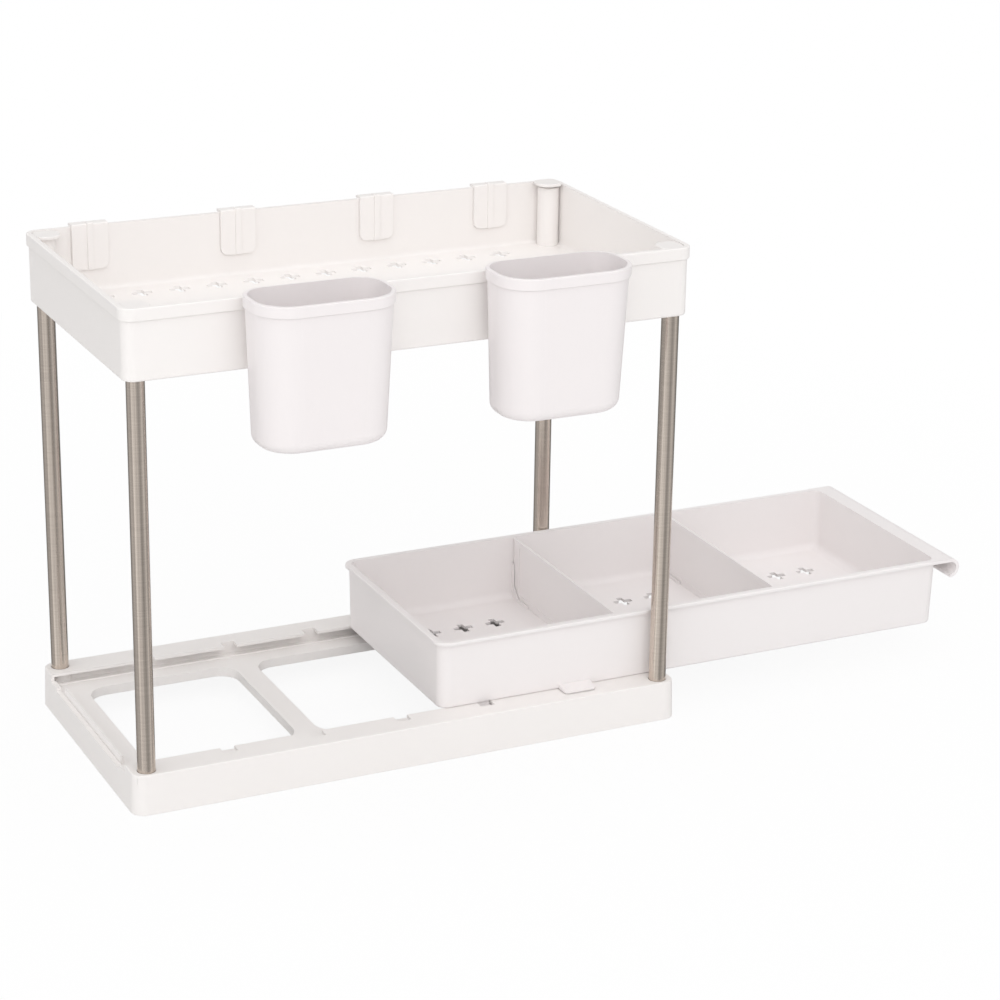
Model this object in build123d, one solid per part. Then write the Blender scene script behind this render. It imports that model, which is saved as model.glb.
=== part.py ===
# Under sink organizer: a standing rack with a pull-out drawer, a tray on four steel
# posts, two hanging cups and four hanging hooks.
# Millimetres. X runs along the long side and the drawer pulls towards +X, +Y is the
# back, +Z is up. The origin is the middle of the base outline on the floor.
import os

from build123d import *

os.makedirs("parts", exist_ok=True)

# Base frame outline and walls
base_length = 400.0
base_width = 206.0
base_height = 28.0
base_draft = 1.0
base_corner_radius = 9.0
base_wall = 2.2
base_edge_radius = 0.8

# Rails along the two long sides of the base and the platform between them
platform_drop = 9.0
lip_inset = 7.0
lip_overhang = 8.0
lip_thickness = 2.0
end_strip_width = 4.3
end_strip_drop = 7.5
end_step_drop = 5.0
end_step_length = 11.5
stop_rib_height = 6.2
stop_rib_thickness = 1.6
stop_rib_length = 121.0
stop_rib_lean = 0.8
bead_height = 1.0
bead_width = 1.4
bead_gap = 0.6

# Three windows through the platform
window_count = 3
window_bar = 15.6
window_end_margin = 21.2
window_side_margin = 36.5
window_radius = 15.0
window_flange_depth = 6.5
window_flange_wall = 2.0

# Notches in both rail lips
notch_count = 5
notch_pitch = 62.5
notch_length = 10.0
notch_shift = -3.0

# Four posts, cut from thin steel tube
post_radius = 6.0
post_wall = 0.8
post_inset_x = 11.5
post_inset_y = 9.5
socket_floor = 4.0
socket_clearance = 0.25
socket_wall = 2.0

# Upper tray
tray_end_inset = 2.0
tray_side_inset = 0.5
tray_bottom = 295.0
tray_height = 47.5
tray_wall = 2.2
tray_corner_radius = 8.0
tray_bottom_radius = 1.5
tray_floor_radius = 3.0
tray_rim_height = 8.5
tray_rim_proud = 1.5
tray_rim_radius = 0.8
sleeve_radius = 7.75
sleeve_clearance = 0.2
shoulder_depth = 4.5

# Cross-shaped drain holes, used in the tray floor and the drawer floor
cross_length = 14.5
cross_width = 4.6
tray_hole_columns = 12
tray_hole_rows = 4
tray_hole_end_margin = 50.0
tray_hole_side_margin = 21.5
tray_hole_shift = -3.5
drawer_hole_columns = 4
drawer_hole_rows = 2
drawer_hole_pitch_x = 25.5
drawer_hole_pitch_y = 80.0
drawer_hole_shift = -6.0

# Caps on the post tops
cap_size = 17.6
cap_thickness = 2.0
cap_wall_gap = 0.35
cap_drop = 0.4
cap_inner_radius = 8.0
cap_edge_radius = 0.6
cap_stem_clearance = 0.1
cap_stem_length = 12.0
loose_cap_side = (1, 1)
loose_cap_lift = 2.0

# Drawer
drawer_extra_length = 1.0
drawer_side_gap = 0.8
drawer_height = 50.0
drawer_side_draft = 1.5
drawer_end_draft = 0.5
drawer_wall = 2.0
drawer_floor = 2.2
drawer_corner_radius = 8.0
drawer_bottom_radius = 1.5
drawer_floor_radius = 5.5
drawer_inner_end = 25.5
flange_overhang = 2.7
flange_thickness = 2.4
flange_edge_radius = 0.8
handle_reach = 9.5
handle_curl_radius = 7.2

# Stop lugs on the drawer walls and guide hooks under its floor
lug_start = 91.0
lug_length = 24.0
lug_reach = 11.5
lug_root_thickness = 2.8
lug_tip_thickness = 1.3
lug_corner_radius = 3.0
lug_lift = 0.6
guide_count = 2
guide_start = 40.0
guide_length = 8.0
guide_leg = 2.6
guide_foot_thickness = 2.6
guide_foot_reach = 5.0
guide_gap = 0.4

# Two dividers that drop between ribs on the drawer walls
divider_shares = (-0.163, 0.157)
divider_thickness = 1.8
divider_side_gap = 0.4
divider_top_gap = 1.0
divider_chamfer = 8.0
divider_band = 5.0
divider_recess = 0.4
divider_foot_inset = 0.8
guide_rib_thickness = 1.0
guide_rib_gap = 0.35
guide_rib_reach = 2.2
guide_rib_height = 27.0
guide_rib_run = 28.0

# Hanging hooks on the back wall of the tray
hook_shares = (-0.39, -0.1212, 0.1414, 0.3649)
hook_width = 25.6
hook_thickness = 1.9
hook_inner_drop = 30.0
hook_corner_radius = 5.0
hook_rib_width = 4.3
hook_rib_thickness = 0.7
hook_rib_crest = 3.2
hook_outer_drop = 36.0
hook_finger_width = 14.0
hook_finger_radius = 6.0
hook_finger_rise = 5.0
hang_gap = 0.3

# Hanging cups on the front wall of the tray
cup_shares = (-0.1995, 0.2177)
cup_top_length = 93.0
cup_top_depth = 51.0
cup_bottom_length = 86.0
cup_bottom_depth = 47.0
cup_height = 97.5
cup_rise = 5.5
cup_wall = 1.8
cup_front_radius = 23.0
cup_back_radius = 18.0
cup_bottom_radius = 7.5
cup_rim_height = 7.5
cup_rim_proud = 1.0
cup_rim_edge_radius = 0.6
cup_hook_length = 74.0
cup_hook_thickness = 1.9
cup_hook_drop = 12.0

# Places that follow from the sizes above
post_x = base_length / 2 - post_inset_x
post_y = base_width / 2 - post_inset_y
post_inner_face = post_y - post_radius
platform_top = base_height - platform_drop
platform_bottom = platform_top - base_wall
lip_edge_y = post_inner_face - lip_inset
channel_wall_y = lip_edge_y + lip_overhang
lip_bottom = base_height - lip_thickness
window_run = base_length - 2 * window_end_margin
window_length = (window_run - (window_count - 1) * window_bar) / window_count
window_width = base_width - 2 * window_side_margin
window_pitch = window_length + window_bar
tray_length = base_length - 2 * tray_end_inset
tray_width = base_width - 2 * tray_side_inset
tray_hole_pitch_x = (tray_length - 2 * tray_hole_end_margin) / (tray_hole_columns - 1)
tray_hole_pitch_y = (tray_width - 2 * tray_hole_side_margin) / (tray_hole_rows - 1)
hook_centres = [share * tray_length for share in hook_shares]
cup_centres = [share * tray_length for share in cup_shares]
tray_top = tray_bottom + tray_height
tray_inner_x = tray_length / 2 - tray_wall
tray_inner_y = tray_width / 2 - tray_wall
rim_outer_y = tray_width / 2 + tray_rim_proud
cap_top = tray_top - cap_drop
cap_seat = cap_top - cap_thickness
post_top = tray_top - shoulder_depth
post_bore = post_radius - post_wall
drawer_length = base_length + drawer_extra_length
drawer_width = 2 * (post_inner_face - drawer_side_gap - flange_overhang)
drawer_pull_out = drawer_inner_end + drawer_length / 2
divider_offsets = [share * drawer_length for share in divider_shares]
drawer_bottom = base_height
drawer_top = drawer_bottom + drawer_height
drawer_floor_top = drawer_bottom + drawer_floor
side_signs = (-1, 1)
corner_names = {
    (-1, -1): "front_left",
    (1, -1): "front_right",
    (-1, 1): "back_left",
    (1, 1): "back_right",
}


def save(name, shape):
    shape.label = name
    export_step(shape, "parts/" + name + ".step")


def block(x_from, x_to, y_from, y_to, z_from, z_to):
    size = (abs(x_to - x_from), abs(y_to - y_from), abs(z_to - z_from))
    middle = ((x_from + x_to) / 2, (y_from + y_to) / 2, (z_from + z_to) / 2)
    return Pos(*middle) * Box(*size)


def slab(length, width, radius, z_from, z_to):
    outline = RectangleRounded(length, width, radius)
    return Pos(0, 0, z_from) * extrude(outline, amount=z_to - z_from)


def drafted(length, width, radius, end_draft, side_draft, z_from, z_to):
    low = RectangleRounded(length - 2 * end_draft, width - 2 * side_draft, radius)
    high = RectangleRounded(length, width, radius)
    return loft([Pos(0, 0, z_from) * low, Pos(0, 0, z_to) * high])


def rod(radius, x, y, z_from, z_to):
    return Pos(x, y, (z_from + z_to) / 2) * Cylinder(radius, z_to - z_from)


def spread(count, pitch):
    first = -(count - 1) * pitch / 2
    return [first + index * pitch for index in range(count)]


def crosses(columns, rows, pitch_x, pitch_y, z_from, z_to):
    holes = []
    for x in spread(columns, pitch_x):
        for y in spread(rows, pitch_y):
            arm = slab_cross(z_from, z_to)
            holes.append(Pos(x, y, 0) * arm)
    return holes


def slab_cross(z_from, z_to):
    outline = Rectangle(cross_length, cross_width) + Rectangle(cross_width, cross_length)
    return Pos(0, 0, z_from) * extrude(outline, amount=z_to - z_from)


def edges_at(shape, z):
    return shape.edges().filter_by_position(Axis.Z, z, z)


# Base frame: the outer skirt leans in towards the top
def make_base():
    foot = RectangleRounded(base_length, base_width, base_corner_radius)
    head = RectangleRounded(
        base_length - 2 * base_draft,
        base_width - 2 * base_draft,
        base_corner_radius - base_draft,
    )
    outer = loft([foot, Pos(0, 0, base_height) * head])
    outer = fillet(edges_at(outer, base_height), base_edge_radius)
    half_length = base_length / 2
    inner_x = half_length - base_draft - base_wall
    inner_y = base_width / 2 - base_draft - base_wall

    # The open well between the rails, wider below the lips than between them
    well = block(-inner_x, inner_x, -channel_wall_y, channel_wall_y, platform_top, lip_bottom)
    between = block(
        -half_length, half_length, -lip_edge_y, lip_edge_y, platform_top, base_height
    )
    body = outer - well - between

    # The end strips are lower than the rails, with one step near each rail
    strip_x = half_length - end_strip_width
    strip_top = base_height - end_strip_drop
    step_top = base_height - end_step_drop
    step_y = lip_edge_y - end_step_length
    for side in side_signs:
        strip = block(
            side * strip_x, side * half_length, -lip_edge_y, lip_edge_y, platform_bottom, strip_top
        )
        body += strip & outer
        for side_y in side_signs:
            step = block(
                side * strip_x,
                side * half_length,
                side_y * step_y,
                side_y * lip_edge_y,
                platform_bottom,
                step_top,
            )
            body += step & outer

    # The hollow underside keeps the post bosses and the window flanges
    hollow = slab(
        2 * inner_x, 2 * inner_y, base_corner_radius - base_wall, 0, platform_bottom
    )
    for side in side_signs:
        hollow += block(
            -inner_x,
            inner_x,
            side * (channel_wall_y + base_wall),
            side * inner_y,
            0,
            lip_bottom,
        )
    window_x = spread(window_count, window_pitch)
    flange_bottom = platform_bottom - window_flange_depth + base_wall
    for x in window_x:
        flange = slab(
            window_length + 2 * window_flange_wall,
            window_width + 2 * window_flange_wall,
            window_radius + window_flange_wall,
            flange_bottom,
            platform_bottom,
        )
        hollow -= Pos(x, 0, 0) * flange
    boss_radius = post_radius + socket_clearance + socket_wall
    for side_x, side_y in corner_names:
        hollow -= rod(boss_radius, side_x * post_x, side_y * post_y, 0, base_height)
    body -= hollow
    for side_x, side_y in corner_names:
        boss = rod(boss_radius, side_x * post_x, side_y * post_y, 0, lip_bottom)
        body += boss & outer

    # A low bead along each rail, and a leaning stop rib along each end
    bead_y = lip_edge_y + bead_gap
    stop_half = stop_rib_length / 2
    for side in side_signs:
        body += block(
            -strip_x,
            strip_x,
            side * bead_y,
            side * (bead_y + bead_width),
            platform_bottom,
            platform_top + bead_height,
        )
        profile = Polygon(
            (-strip_x, platform_bottom),
            (-strip_x, platform_top),
            (stop_rib_lean - strip_x, platform_top + stop_rib_height),
            (stop_rib_lean + stop_rib_thickness - strip_x, platform_top + stop_rib_height),
            (stop_rib_lean + stop_rib_thickness - strip_x, platform_bottom),
            align=None,
        )
        stop = extrude(Plane.XZ * profile, amount=stop_half, both=True)
        if side > 0:
            stop = mirror(stop, about=Plane.YZ)
        body += stop

    for x in window_x:
        body -= Pos(x, 0, 0) * slab(
            window_length, window_width, window_radius, 0, platform_top
        )
    for x in spread(notch_count, notch_pitch):
        for side in side_signs:
            body -= block(
                x + notch_shift - notch_length / 2,
                x + notch_shift + notch_length / 2,
                side * lip_edge_y,
                side * channel_wall_y,
                lip_bottom,
                base_height,
            )
    for side_x, side_y in corner_names:
        body -= rod(
            post_radius + socket_clearance,
            side_x * post_x,
            side_y * post_y,
            socket_floor,
            base_height,
        )
    return body


# A post: plain tube from the socket floor to the shoulder inside the tray sleeve
def make_post(x, y):
    tube = rod(post_radius, x, y, socket_floor, post_top)
    return tube - rod(post_bore, x, y, socket_floor, post_top)


# Upper tray: wall with a proud rim band, drained floor and a sleeve in each corner
def make_tray():
    rim_bottom = tray_top - tray_rim_height
    floor_top = tray_bottom + tray_wall
    body = slab(tray_length, tray_width, tray_corner_radius, tray_bottom, tray_top)
    body = fillet(edges_at(body, tray_bottom), tray_bottom_radius)
    rim = slab(
        tray_length + 2 * tray_rim_proud,
        tray_width + 2 * tray_rim_proud,
        tray_corner_radius + tray_rim_proud,
        rim_bottom,
        tray_top,
    )
    rim = fillet(edges_at(rim, tray_top) + edges_at(rim, rim_bottom), tray_rim_radius)
    inside = slab(
        tray_length - 2 * tray_wall,
        tray_width - 2 * tray_wall,
        tray_corner_radius - tray_wall,
        floor_top,
        tray_top + tray_height,
    )
    inside = fillet(edges_at(inside, floor_top), tray_floor_radius)
    for side_x, side_y in corner_names:
        inside -= rod(
            sleeve_radius, side_x * post_x, side_y * post_y, tray_bottom, cap_seat
        )
    body = body + rim - inside
    for side_x, side_y in corner_names:
        x = side_x * post_x
        y = side_y * post_y
        body -= rod(post_radius + sleeve_clearance, x, y, tray_bottom, post_top)
        body -= rod(post_bore, x, y, post_top, tray_top)
    holes = crosses(
        tray_hole_columns,
        tray_hole_rows,
        tray_hole_pitch_x,
        tray_hole_pitch_y,
        tray_bottom,
        floor_top,
    )
    for hole in holes:
        body -= Pos(tray_hole_shift, 0, 0) * hole
    return body


# A cap: a plate let into the tray corner, with a stem that plugs the tube.
# One of the four is not pushed quite home and stands proud of the rim.
def make_cap(side_x, side_y):
    outer_x = tray_inner_x - cap_wall_gap
    outer_y = tray_inner_y - cap_wall_gap
    plate = block(
        side_x * (outer_x - cap_size),
        side_x * outer_x,
        side_y * (outer_y - cap_size),
        side_y * outer_y,
        cap_seat,
        cap_top,
    )
    corners = plate.edges().filter_by(Axis.Z).sort_by_distance((0, 0, cap_top))
    plate = fillet(corners[:1], cap_inner_radius)
    corners = plate.edges().filter_by(Axis.Z).sort_by_distance((0, 0, cap_top))
    plate = fillet(corners[2:], tray_corner_radius - tray_wall - cap_wall_gap)
    plate = fillet(edges_at(plate, cap_top), cap_edge_radius)
    stem_radius = post_bore - cap_stem_clearance
    stem = rod(
        stem_radius, side_x * post_x, side_y * post_y, cap_seat - cap_stem_length, cap_seat
    )
    lift = loose_cap_lift if (side_x, side_y) == loose_cap_side else 0
    return Pos(0, 0, lift) * (plate + stem)


# A stop lug: a small wedge with rounded outer corners, rooted inside the drawer wall
def make_lug(side):
    root = drawer_wall / 2
    outline = RectangleRounded(lug_length, lug_reach * 2, lug_corner_radius)
    blank = extrude(outline, amount=lug_root_thickness)
    blank -= block(-lug_length, lug_length, root, lug_reach * 2, 0, lug_root_thickness)
    profile = Polygon(
        (root, 0),
        (root, lug_root_thickness),
        (0, lug_root_thickness),
        (-lug_reach, lug_tip_thickness),
        (-lug_reach, 0),
        align=None,
    )
    wedge = extrude(Plane.YZ * profile, amount=lug_length, both=True)
    lug = blank & wedge
    if side > 0:
        lug = mirror(lug, about=Plane.XZ)
    return lug


# Drawer, drawn about its own middle and then pulled out
def make_drawer():
    half_length = drawer_length / 2
    flange_bottom = drawer_top - flange_thickness
    body = drafted(
        drawer_length,
        drawer_width,
        drawer_corner_radius,
        drawer_end_draft,
        drawer_side_draft,
        drawer_bottom,
        drawer_top,
    )
    body = fillet(edges_at(body, drawer_bottom), drawer_bottom_radius)
    flange = slab(
        drawer_length + 2 * flange_overhang,
        drawer_width + 2 * flange_overhang,
        drawer_corner_radius + flange_overhang,
        flange_bottom,
        drawer_top,
    )
    flange = fillet(edges_at(flange, drawer_top), flange_edge_radius)
    body += flange

    # The pull handle: the end flange runs on and curls down
    flange_y = drawer_width / 2 + flange_overhang
    curl_x = half_length + handle_reach
    plate = block(
        half_length - drawer_corner_radius,
        curl_x,
        -flange_y,
        flange_y,
        flange_bottom,
        drawer_top,
    )
    ring = Circle(handle_curl_radius) - Circle(handle_curl_radius - flange_thickness)
    half_ring = ring - Pos(-handle_curl_radius, 0) * Rectangle(
        2 * handle_curl_radius, 2 * handle_curl_radius
    )
    curl = extrude(Plane.XZ * half_ring, amount=flange_y, both=True)
    body += plate + Pos(curl_x, 0, drawer_top - handle_curl_radius) * curl

    inside = drafted(
        drawer_length - 2 * drawer_wall,
        drawer_width - 2 * drawer_wall,
        drawer_corner_radius - drawer_wall,
        drawer_end_draft,
        drawer_side_draft,
        drawer_floor_top,
        drawer_top,
    )
    inside = fillet(edges_at(inside, drawer_floor_top), drawer_floor_radius)
    body -= inside

    # Paired ribs on both walls and along the floor hold each divider upright
    wall_y = drawer_width / 2 - drawer_side_draft - drawer_wall / 2
    clear_y = drawer_width / 2 - drawer_wall - drawer_side_draft - guide_rib_reach
    clear_z = drawer_floor_top + guide_rib_reach
    rib_top = drawer_floor_top + guide_rib_height
    rib_z = drawer_floor_top - drawer_floor / 2
    clear = Polygon(
        (-clear_y, rib_top),
        (-clear_y, clear_z + divider_chamfer),
        (-clear_y + divider_chamfer, clear_z),
        (clear_y - divider_chamfer, clear_z),
        (clear_y, clear_z + divider_chamfer),
        (clear_y, rib_top),
        align=None,
    )
    middle_y = wall_y - guide_rib_run
    for offset in divider_offsets:
        for side in side_signs:
            near = offset + side * (divider_thickness / 2 + guide_rib_gap)
            far = near + side * guide_rib_thickness
            rib = block(near, far, -wall_y, wall_y, rib_z, rib_top)
            rib -= block(near, far, -middle_y, middle_y, rib_z, rib_top)
            gap = extrude(Plane.YZ * clear, amount=drawer_length, both=True)
            body += rib - gap

    # Drain holes in each of the three compartments
    bounds = (-half_length, *divider_offsets, half_length)
    holes = crosses(
        drawer_hole_columns,
        drawer_hole_rows,
        drawer_hole_pitch_x,
        drawer_hole_pitch_y,
        drawer_bottom,
        drawer_floor_top,
    )
    for left, right in zip(bounds, bounds[1:]):
        middle = (left + right) / 2 + drawer_hole_shift
        for hole in holes:
            body -= Pos(middle, 0, 0) * hole

    # Stop lugs above the rails, and guide hooks that reach under the rail lips
    lug_x = -half_length + lug_start + lug_length / 2
    lug_y = drawer_width / 2 - drawer_side_draft
    foot_top = lip_bottom - guide_gap
    foot_bottom = foot_top - guide_foot_thickness
    leg_outer = lip_edge_y - guide_gap
    for side in side_signs:
        body += Pos(lug_x, side * lug_y, drawer_bottom + lug_lift) * make_lug(side)
        for step in range(guide_count):
            start = -half_length + guide_start + step * notch_pitch
            body += block(
                start,
                start + guide_length,
                side * (leg_outer - guide_leg),
                side * leg_outer,
                foot_bottom,
                drawer_bottom + drawer_floor / 2,
            )
            body += block(
                start,
                start + guide_length,
                side * (leg_outer - guide_leg),
                side * (leg_outer + guide_foot_reach),
                foot_bottom,
                foot_top,
            )
    return Pos(drawer_pull_out, 0, 0) * body


# A divider: a thin plate with bands along its top and foot
def make_divider(offset):
    top_z = drawer_top - divider_top_gap
    top_y = drawer_width / 2 - drawer_wall - divider_side_gap - divider_foot_inset
    foot_y = top_y - drawer_side_draft
    low = drawer_floor_top
    outline = Polygon(
        (-top_y, top_z),
        (-foot_y, low + divider_chamfer),
        (-foot_y + divider_chamfer, low),
        (foot_y - divider_chamfer, low),
        (foot_y, low + divider_chamfer),
        (top_y, top_z),
        align=None,
    )
    plate = extrude(Plane.YZ * outline, amount=divider_thickness / 2, both=True)
    panel_y = foot_y - divider_chamfer
    for side in side_signs:
        plate -= block(
            side * (divider_thickness / 2 - divider_recess),
            side * divider_thickness / 2,
            -panel_y,
            panel_y,
            low + divider_band,
            top_z - divider_band,
        )
    return Pos(drawer_pull_out + offset, 0, 0) * plate


# A hanging hook: over the rim of the back wall, with a finger behind it
def make_hook(x):
    inner_face = tray_inner_y - hang_gap
    outer_face = rim_outer_y + hang_gap
    top = tray_top + hook_thickness
    low = tray_top - hook_inner_drop
    half = hook_width / 2
    leaf = block(-half, half, inner_face - hook_thickness, inner_face, low, top)
    corners = leaf.edges().filter_by(Axis.Y).group_by(Axis.Z)[0]
    leaf = fillet(corners, hook_corner_radius)
    rib = block(
        -hook_rib_width / 2,
        hook_rib_width / 2,
        inner_face - hook_thickness - hook_rib_thickness,
        inner_face + hook_rib_crest,
        low,
        top + hook_rib_thickness,
    )
    rib -= block(
        -hook_rib_width / 2,
        hook_rib_width / 2,
        inner_face - hook_thickness,
        inner_face + hook_rib_crest,
        low,
        top - hook_thickness / 2,
    )
    brow = rib.edges().filter_by(Axis.X).group_by(Axis.Z)[-1]
    rib = fillet(brow, hook_rib_thickness)
    bridge = block(
        -half, half, inner_face - hook_thickness, outer_face + hook_thickness, tray_top, top
    )
    crest = bridge.edges().filter_by(Axis.X).group_by(Axis.Z)[-1]
    bridge = fillet(crest, hook_thickness / 2)
    leaf -= block(
        -half, half, inner_face - hook_thickness, inner_face, tray_top, top
    )
    bend_z = tray_top - hook_outer_drop
    finger = hook_finger_width / 2
    shank = block(
        -finger, finger, outer_face, outer_face + hook_thickness, bend_z, tray_top
    )
    outer_bend = hook_finger_radius + hook_thickness
    ring = Circle(outer_bend) - Circle(hook_finger_radius)
    ring -= Pos(0, outer_bend) * Rectangle(2 * outer_bend, 2 * outer_bend)
    bend = extrude(Plane.YZ * ring, amount=finger, both=True)
    bend_y = outer_face + outer_bend
    tip_y = bend_y + hook_finger_radius
    tip = block(
        -finger, finger, tip_y, tip_y + hook_thickness, bend_z, bend_z + hook_finger_rise
    )
    hook = leaf + rib + bridge + shank + Pos(0, bend_y, bend_z) * bend + tip
    return Pos(x, 0, 0) * hook


# Plan outline of a cup: flat back, large round corners in front
def cup_outline(length, depth, shrink):
    back = -(rim_outer_y + hang_gap) - shrink
    half = length / 2 - shrink
    front = back - (depth - 2 * shrink)
    front_round = cup_front_radius - shrink
    back_round = cup_back_radius - shrink
    with BuildSketch() as sketch:
        with BuildLine():
            Polyline(
                (-half, back),
                (-half, front),
                (half, front),
                (half, back),
                close=True,
            )
        make_face()
        rear = sketch.vertices().group_by(Axis.Y)[-1]
        fillet(rear, back_round)
        fore = sketch.vertices().group_by(Axis.Y)[0]
        fillet(fore, front_round)
    return sketch.sketch


# A cup: tapered, open at the top, hung over the rim of the front wall
def make_cup(x):
    top = tray_top + cup_rise
    low = top - cup_height
    rim_low = top - cup_rim_height
    outer = loft(
        [
            Pos(0, 0, low) * cup_outline(cup_bottom_length, cup_bottom_depth, 0),
            Pos(0, 0, top) * cup_outline(cup_top_length, cup_top_depth, 0),
        ]
    )
    outer = fillet(edges_at(outer, low), cup_bottom_radius)
    band = Pos(0, 0, rim_low) * extrude(
        cup_outline(cup_top_length, cup_top_depth, -cup_rim_proud), amount=cup_rim_height
    )
    band = fillet(edges_at(band, top) + edges_at(band, rim_low), cup_rim_edge_radius)
    back_y = -(rim_outer_y + hang_gap)
    reach = cup_top_length
    band -= block(-reach, reach, back_y, back_y + cup_front_radius, rim_low, top)
    floor_top = low + cup_wall
    inner = loft(
        [
            Pos(0, 0, floor_top) * cup_outline(cup_bottom_length, cup_bottom_depth, cup_wall),
            Pos(0, 0, top) * cup_outline(cup_top_length, cup_top_depth, cup_wall),
        ]
    )
    inner = fillet(edges_at(inner, floor_top), cup_bottom_radius - cup_wall)
    cup = outer + band - inner

    # The strip that hooks over the tray rim
    half = cup_hook_length / 2
    leg_y = -(tray_inner_y - hang_gap)
    leg_inner = leg_y + cup_hook_thickness
    strip_top = tray_top + cup_hook_thickness
    strip = block(-half, half, back_y - cup_wall, leg_inner, tray_top, strip_top)
    leg = block(-half, half, leg_y, leg_inner, tray_top - cup_hook_drop, tray_top)
    return Pos(x, 0, 0) * (cup + strip + leg)


save("base_frame", make_base())
save("upper_tray", make_tray())
save("drawer", make_drawer())
for (side_x, side_y), corner in corner_names.items():
    save("post_" + corner, make_post(side_x * post_x, side_y * post_y))
    save("cap_" + corner, make_cap(side_x, side_y))
for side, offset in zip(("inner", "outer"), divider_offsets):
    save("divider_" + side, make_divider(offset))
for number, x in enumerate(hook_centres, start=1):
    save("hook_" + str(number), make_hook(x))
for side, x in zip(("left", "right"), cup_centres):
    save("cup_" + side, make_cup(x))
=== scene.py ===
import math

import bmesh
import bpy
from mathutils import Matrix, Vector


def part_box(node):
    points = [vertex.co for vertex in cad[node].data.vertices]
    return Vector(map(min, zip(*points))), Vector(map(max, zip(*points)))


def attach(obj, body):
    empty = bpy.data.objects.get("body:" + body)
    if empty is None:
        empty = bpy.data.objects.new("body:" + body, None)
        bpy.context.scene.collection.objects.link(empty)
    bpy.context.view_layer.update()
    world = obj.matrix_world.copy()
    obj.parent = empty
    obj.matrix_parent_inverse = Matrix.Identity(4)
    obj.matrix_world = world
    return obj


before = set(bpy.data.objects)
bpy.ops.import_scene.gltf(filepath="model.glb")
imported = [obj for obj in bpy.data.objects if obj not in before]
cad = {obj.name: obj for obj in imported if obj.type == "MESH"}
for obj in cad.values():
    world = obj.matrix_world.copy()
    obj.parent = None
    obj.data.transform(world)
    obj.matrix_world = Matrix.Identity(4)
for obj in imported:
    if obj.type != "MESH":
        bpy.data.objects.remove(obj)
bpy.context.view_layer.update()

# Base frame
# A hollow polypropylene moulding with a leaning skirt, two undercut rails and
# three windows. It comes out of the mould in one piece, satin on every side,
# and stands loose on the floor.


class Shade:
    """One output in a material's nodes. Sums of these add Math nodes."""

    def __init__(self, tree, socket=None):
        self.tree = tree
        self.socket = socket

    def node(self, kind, settings=None, sockets=None, out=0):
        """Adds a node: first its settings, then its sockets' values or links."""
        made = self.tree.nodes.new(kind)
        for name, value in (settings or {}).items():
            if name == "stops":
                for place, level in value[1:-1]:
                    made.color_ramp.elements.new(place)
                for stop, (place, level) in zip(made.color_ramp.elements, value):
                    stop.position = place
                    stop.color = (level, level, level, 1)
            else:
                setattr(made, name, value)
        for name, value in (sockets or {}).items():
            if isinstance(value, Shade):
                self.tree.links.new(value.socket, made.inputs[name])
            else:
                made.inputs[name].default_value = value
        return Shade(self.tree, made.outputs[out] if made.outputs else None)

    def beside(self, out):
        """Another output of the same node."""
        return Shade(self.tree, self.socket.node.outputs[out])

    def maths(self, operation, first, second):
        return self.node("ShaderNodeMath", {"operation": operation}, {0: first, 1: second})

    def __add__(self, other):
        return self.maths("ADD", self, other)

    def __radd__(self, other):
        return self.maths("ADD", other, self)

    def __sub__(self, other):
        return self.maths("SUBTRACT", self, other)

    def __rsub__(self, other):
        return self.maths("SUBTRACT", other, self)

    def __mul__(self, other):
        return self.maths("MULTIPLY", self, other)

    def __rmul__(self, other):
        return self.maths("MULTIPLY", other, self)


def new_finish(name):
    """An empty material, and the start of its nodes."""
    material = bpy.data.materials.new(name)
    material.use_nodes = True
    material.node_tree.nodes.clear()
    return material, Shade(material.node_tree)


def close_finish(start, surface):
    start.node("ShaderNodeOutputMaterial", None, {"Surface": surface})


def noise(start, place, scale, detail, roughness=0.5):
    """Soft random values. The place is a texture coordinate, in metres."""
    return start.node(
        "ShaderNodeTexNoise",
        None,
        {"Vector": place, "Scale": scale, "Detail": detail, "Roughness": roughness},
    )


def tinted(start, factor, colour, deepest, palest):
    """The colour, from its deepest shade at factor 0 to its palest at 1."""
    deep = [level * deepest for level in colour]
    pale = [level * palest for level in colour]
    return start.node(
        "ShaderNodeMix",
        {"data_type": "RGBA"},
        {"Factor": factor, "A": (*deep, 1), "B": (*pale, 1)},
        2,
    )


# What the mould leaves on the plastic: slow shading where it flowed, specks,
# and the fine grain of the mould's eroded face, which the bump stands for
flow_scale = 9.0
speck_scale = 260.0
grain_scale = 1900.0
soft_detail = 2.0
speck_detail = 3.0
flow_share = 0.7
plastic_deepest = 0.9712
plastic_palest = 1.012
speck_dulls = 0.16
flow_polishes = 0.06
grain_strength = 0.35
grain_depth = 0.00006
edge_radius = 0.0003
edge_samples = 4
plastic_ior = 1.49


def moulded(name, colour, dullness=0.40):
    """Satin moulded plastic: fine grain, slow flow shading, soft edges."""
    material, start = new_finish(name)
    place = start.node("ShaderNodeTexCoord", None, None, "Object")
    flow = noise(start, place, flow_scale, soft_detail)
    speck = noise(start, place, speck_scale, speck_detail)
    grain = noise(start, place, grain_scale, soft_detail)
    shading = flow * flow_share + speck * (1 - flow_share)
    soft_edge = start.node("ShaderNodeBevel", {"samples": edge_samples}, {"Radius": edge_radius})
    grained = start.node(
        "ShaderNodeBump",
        None,
        {"Strength": grain_strength, "Distance": grain_depth, "Height": grain, "Normal": soft_edge},
    )
    surface = start.node(
        "ShaderNodeBsdfPrincipled",
        None,
        {
            "Base Color": tinted(start, shading, colour, plastic_deepest, plastic_palest),
            "Roughness": dullness + speck * speck_dulls - flow * flow_polishes,
            "IOR": plastic_ior,
            "Normal": grained,
        },
    )
    close_finish(start, surface)
    return material


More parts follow.
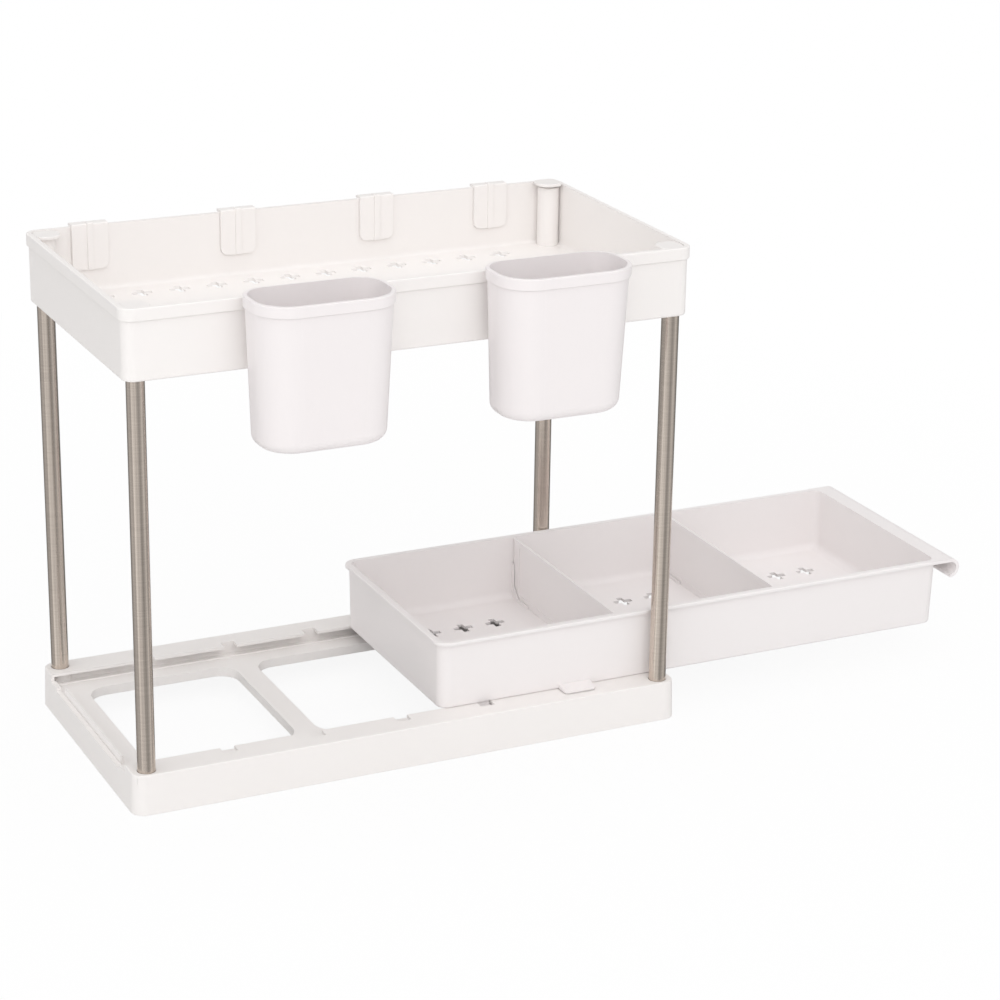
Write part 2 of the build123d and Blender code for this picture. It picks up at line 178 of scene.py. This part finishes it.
def dress(names, finish):
    """Gives the solids of these nodes their finish."""
    for name in names:
        solid = cad[name]
        solid.data.materials.clear()
        solid.data.materials.append(finish)


warm_white = (0.90, 0.869, 0.851)
base_finish = moulded("base_plastic", warm_white)
dress(["base_frame"], base_finish)

# A fillet thickens the inside of each skirt corner. It backs the thin spot
# where the leaning outer corner meets the square corner of the hollow, so it
# is blunter at its top, where that corner leans in further
skirt_wall = 0.0032
fillet_leg = 0.0026
fillet_bottom = 0.022
fillet_top = 0.026
blunt_bottom = 0.00001
blunt_top = 0.00016
arc_steps = 8
base_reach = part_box("base_frame")[1]
hollow_x = base_reach[0] - skirt_wall
hollow_y = base_reach[1] - skirt_wall


def prism(name, near, far, finish):
    """A closed piece between two rings that have as many points each."""
    shape = bmesh.new()
    rings = [[shape.verts.new(point) for point in ring] for ring in (near, far)]
    shape.faces.new(rings[0])
    shape.faces.new(list(reversed(rings[1])))
    for number in range(len(near)):
        after = (number + 1) % len(near)
        shape.faces.new((rings[0][number], rings[1][number], rings[1][after], rings[0][after]))
    bmesh.ops.recalc_face_normals(shape, faces=shape.faces)
    mesh = bpy.data.meshes.new(name)
    shape.to_mesh(mesh)
    shape.free()
    mesh.materials.append(finish)
    piece = bpy.data.objects.new(name, mesh)
    bpy.context.scene.collection.objects.link(piece)
    return piece


def fillet_ring(side_x, side_y, height, blunt):
    """One level of a fillet: its blunted corner, then its hollow inner arc."""
    ring = [(blunt, 0), (0, blunt), (0, fillet_leg)]
    for step in range(1, arc_steps):
        turn = math.pi / 2 * step / arc_steps
        ring.append((fillet_leg * (1 - math.cos(turn)), fillet_leg * (1 - math.sin(turn))))
    ring.append((fillet_leg, 0))
    return [
        (side_x * (hollow_x - across), side_y * (hollow_y - along), height)
        for across, along in ring
    ]


for side_y, row in ((-1, "front"), (1, "back")):
    for side_x, end in ((-1, "left"), (1, "right")):
        low = fillet_ring(side_x, side_y, fillet_bottom, blunt_bottom)
        high = fillet_ring(side_x, side_y, fillet_top, blunt_top)
        fillet = prism("skirt_fillet_" + row + "_" + end, low, high, base_finish)
        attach(fillet, "frame")

# Posts
# Four lengths of thin stainless tube, brushed round and round on a belt, which
# leaves fine rings over a few long drawing marks. The long marks are drawn
# strong in the colour, as painted streaks of reflected light down the tube.
# They push into the sockets of the base.
tube_steel = (0.62, 0.545, 0.48)
steel_deepest = 0.72
steel_palest = 1.28
ring_scale = (40, 40, 2600)
ring_detail = 4.0
ring_roughness = 0.65
# Long marks down the tube: drawing marks, and painted streaks of reflection
mark_and_sheen_scale = (620, 620, 5)
ring_contrast = 0.8
mark_and_sheen_contrast = 1.4
ring_strength = 0.3
ring_depth = 0.00002
steel_dullness = 0.13
rings_dull = 0.12
brushed_pull = 0.8
quarter_turn = 0.25


def stretched(start, place, scale):
    return start.node("ShaderNodeMapping", None, {"Vector": place, "Scale": scale})


def brushed(name, colour):
    """Stainless tube: rings from the brush, and long drawing marks that also paint in streaks of
    reflected light.
    """
    material, start = new_finish(name)
    place = start.node("ShaderNodeTexCoord", None, None, "Object")
    ring_place = stretched(start, place, ring_scale)
    mark_and_sheen_place = stretched(start, place, mark_and_sheen_scale)
    rings = noise(start, ring_place, 1.0, ring_detail, ring_roughness)
    marks_and_sheen = noise(start, mark_and_sheen_place, 1.0, soft_detail)
    # The long marks' strong share of the colour paints in pale and dark reflection bands
    lines_and_sheen = (rings - 0.5) * ring_contrast + (marks_and_sheen - 0.5) * mark_and_sheen_contrast + 0.5
    ringed = start.node(
        "ShaderNodeBump",
        None,
        {"Strength": ring_strength, "Distance": ring_depth, "Height": rings},
    )
    surface = start.node(
        "ShaderNodeBsdfPrincipled",
        None,
        {
            "Base Color": tinted(start, lines_and_sheen, colour, steel_deepest, steel_palest),
            "Metallic": 1.0,
            "Roughness": steel_dullness + rings * rings_dull,
            "Anisotropic": brushed_pull,
            "Anisotropic Rotation": quarter_turn,
            "Normal": ringed,
        },
    )
    close_finish(start, surface)
    return material


corners = ("front_left", "front_right", "back_left", "back_right")
dress(["post_" + corner for corner in corners], brushed("steel_tube", tube_steel))

# Upper tray
# A deep polypropylene tray with a proud rim band, rows of drain holes and a
# sleeve in each corner, moulded in one. The sleeves drop over the posts.
dress(["upper_tray"], moulded("tray_plastic", warm_white))

# Post caps
# Thin rounded plates of the tray's plastic, each moulded with a stem that
# plugs the open end of a tube in the tray's corner sleeve.
cap_dullness = 0.36
dress(["cap_" + corner for corner in corners], moulded("cap_plastic", warm_white, cap_dullness))

# Drawer
# The long pull-out box, moulded in polypropylene with its rim flange, curled
# pull, stop lugs and divider ribs. It lies loose on the rails of the base.
cool_white = (0.89, 0.853, 0.848)
drawer_finish = moulded("drawer_plastic", cool_white)
dress(["drawer"], drawer_finish)

# Broad guide hooks under its long edges drop in through the notches of the
# rails, where they show as pale plugs, and then run below the rails' lips
rail_inset = 0.0225
guide_gap = 0.0004
guide_leg = 0.0026
guide_foot = 0.0026
guide_reach = 0.005
guide_round = 0.0006
guide_sunk = 0.0008
guide_run = 0.0094
guide_places = (0.0596, 0.1221)
guide_face = base_reach[1] - rail_inset - guide_gap
guide_back = guide_face - guide_leg
guide_tip = guide_face + guide_reach
guide_top = base_reach[2] + guide_sunk
guide_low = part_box("drawer")[0][2]
foot_top = guide_low + guide_foot
guide_outline = (
    (guide_back, guide_top),
    (guide_back, guide_low + guide_round),
    (guide_back + guide_round, guide_low),
    (guide_tip - guide_round, guide_low),
    (guide_tip, guide_low + guide_round),
    (guide_tip, foot_top),
    (guide_face + guide_round, foot_top),
    (guide_face, foot_top + guide_round),
    (guide_face, guide_top),
)


def guide_end(x, side_y):
    """One end of a guide hook: a leg with a foot that points outwards."""
    return [(x, side_y * across, height) for across, height in guide_outline]


for side_y, row in ((-1, "front"), (1, "back")):
    for number, middle_x in enumerate(guide_places, 1):
        inner_end = guide_end(middle_x - guide_run / 2, side_y)
        outer_end = guide_end(middle_x + guide_run / 2, side_y)
        guide = prism("guide_hook_" + row + "_" + str(number), inner_end, outer_end, drawer_finish)
        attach(guide, "drawer")

# Dividers
# Two loose plates of the drawer's plastic, each moulded with a thicker band
# along its top and foot. They drop between the ribs of the drawer.
dress(["divider_inner", "divider_outer"], moulded("divider_plastic", cool_white))

# Hanging hooks
# Four small moulded clips that hang over the back rim of the tray, each with a
# curled finger outside. They lift off by hand.
hook_dullness = 0.38
hook_names = ["hook_" + str(number) for number in (1, 2, 3, 4)]
dress(hook_names, moulded("hook_plastic", warm_white, hook_dullness))

# Hanging cups
# Two tapered cups of a slightly cooler plastic, each moulded with a strip that
# hooks over the front rim of the tray. They lift off by hand.
cup_white = (0.873, 0.83, 0.83)
dress(["cup_left", "cup_right"], moulded("cup_plastic", cup_white))

# Floor and backdrop
# A plain sheet of white studio paper that keeps a faint shadow of the rack and
# fades into the white room. Shiny surfaces don't mirror it: they see the
# stand-in for boxes and cards that is set under Light.
floor_reach = 12.0
floor_drop = 0.0002
paper_white = (0.86, 0.86, 0.86, 1)
near_whiteness = 0.895
whiteness_per_metre = 0.10


def seen_directly(start):
    """1 where the camera, a reflection or clear plastic looks straight at it."""
    rays = start.node("ShaderNodeLightPath", None, None, "Is Camera Ray")
    return rays + rays.beside("Is Glossy Ray") + rays.beside("Is Transmission Ray")


edge_places = ((-1, -1), (1, -1), (1, 1), (-1, 1))
sheet = bmesh.new()
sheet.faces.new([sheet.verts.new((x * floor_reach, y * floor_reach, 0)) for x, y in edge_places])
floor_mesh = bpy.data.meshes.new("floor")
sheet.to_mesh(floor_mesh)
sheet.free()
floor = bpy.data.objects.new("floor", floor_mesh)
floor.location.z = -floor_drop
bpy.context.scene.collection.objects.link(floor)

paper, start = new_finish("white_floor")
matte = start.node("ShaderNodeBsdfDiffuse", None, {"Color": paper_white})
glow = start.node("ShaderNodeEmission", None, {"Color": (1, 1, 1, 1), "Strength": 1.0})
place = start.node("ShaderNodeTexCoord", None, None, "Object")
away = start.node("ShaderNodeVectorMath", {"operation": "LENGTH"}, {0: place}, "Value")
whiteness = start.maths("MINIMUM", away * whiteness_per_metre + near_whiteness, 1.0)
glowing = seen_directly(start) * whiteness
lit_paper = start.node("ShaderNodeMixShader", None, {0: glowing, 1: matte, 2: glow})
close_finish(start, lit_paper)
floor.data.materials.append(paper)
floor.visible_glossy = False

# Light
# A white room with a broad soft box in front, one above and one at the left.
# For reflections alone, grey levels by compass bearing stand in for the pale
# boxes and dark cards round a studio table. They are the same for any camera.
fill_level = 0.77
room_white = (1, 1, 1, 1)
card_level = 1.07
# Each stop is a bearing, as a share of a turn from straight left through the
# front, and the level that shiny surfaces mirror there. Set so that the tubes
# get the pale and dark bands of brushed steel in a studio
card_stops = (
    (0.0, 0.50),
    (0.035, 0.72),
    (0.053, 1.0),
    (0.08, 0.80),
    (0.18, 0.72),
    (0.225, 0.52),
    (0.275, 0.34),
    (0.33, 0.48),
    (0.40, 0.74),
    (0.45, 0.52),
    (0.52, 0.27),
    (0.66, 0.20),
    (0.82, 0.26),
    (0.90, 0.50),
    (0.945, 0.56),
    (1.0, 0.50),
)

room = bpy.data.worlds.new("white_room")
bpy.context.scene.world = room
room.use_nodes = True
room.node_tree.nodes.clear()
start = Shade(room.node_tree)
fill = start.node("ShaderNodeBackground", None, {"Color": room_white, "Strength": fill_level})
white = start.node("ShaderNodeBackground", None, {"Color": room_white, "Strength": 1.0})
heading = start.node("ShaderNodeTexCoord", None, None, "Generated")
heading_x = start.node("ShaderNodeSeparateXYZ", None, {0: heading}, "X")
heading_y = heading_x.beside("Y")
bearing = start.maths("ARCTAN2", heading_y, heading_x) * (0.5 / math.pi) + 0.5
cards = start.node("ShaderNodeValToRGB", {"stops": card_stops}, {0: bearing})
mirrored = start.node("ShaderNodeBackground", None, {"Color": cards, "Strength": card_level})
glossy = start.node("ShaderNodeLightPath", None, None, "Is Glossy Ray")
straight = glossy.beside("Is Camera Ray") + glossy.beside("Is Transmission Ray")
lit = start.node("ShaderNodeMixShader", None, {0: straight, 1: fill, 2: white})
seen = start.node("ShaderNodeMixShader", None, {0: glossy, 1: lit, 2: mirrored})
start.node("ShaderNodeOutputWorld", None, {"Surface": seen})

rack_middle = Vector((0.1, 0.0, 0.15))
key_place = (-0.4, -2.35, 1.9)
key_size = (2.2, 1.6)
key_watts = 21.0
top_place = (0.1, -0.3, 2.6)
top_size = (2.4, 2.4)
top_watts = 12.0
left_place = (-2.4, -0.6, 1.2)
left_size = (1.8, 1.8)
left_watts = 6.0


def soft_box(name, place, size, watts):
    """A broad lamp that points at the middle of the rack."""
    lamp = bpy.data.lights.new(name, "AREA")
    lamp.shape = "RECTANGLE"
    lamp.size, lamp.size_y = size
    lamp.energy = watts
    box = bpy.data.objects.new(name, lamp)
    box.location = place
    box.rotation_euler = (rack_middle - Vector(place)).to_track_quat("-Z", "Y").to_euler()
    bpy.context.scene.collection.objects.link(box)


soft_box("key_box", key_place, key_size, key_watts)
soft_box("top_box", top_place, top_size, top_watts)
soft_box("left_box", left_place, left_size, left_watts)

# Camera
# A long lens about two metres off, from the front left and above the tray,
# turned a little about its own axis as in the photo.
view_azimuth = math.radians(-25.748)
view_height = math.radians(19.890)
view_roll = math.radians(0.933)
view_distance = 1.9866
aim = Vector((0.0894, -0.0400, 0.1577))
lens = bpy.data.cameras.new("camera")
lens.sensor_width = 36.0
lens.lens = 103.616
camera = bpy.data.objects.new("camera", lens)
level_reach = math.cos(view_height)
backwards = Vector(
    (
        math.sin(view_azimuth) * level_reach,
        -math.cos(view_azimuth) * level_reach,
        math.sin(view_height),
    )
)
camera.matrix_world = (
    Matrix.Translation(aim + backwards * view_distance)
    @ backwards.to_track_quat("Z", "Y").to_matrix().to_4x4()
    @ Matrix.Rotation(view_roll, 4, "Z")
)
bpy.context.scene.collection.objects.link(camera)
bpy.context.scene.camera = camera
bpy.context.scene.view_settings.view_transform = "Standard"
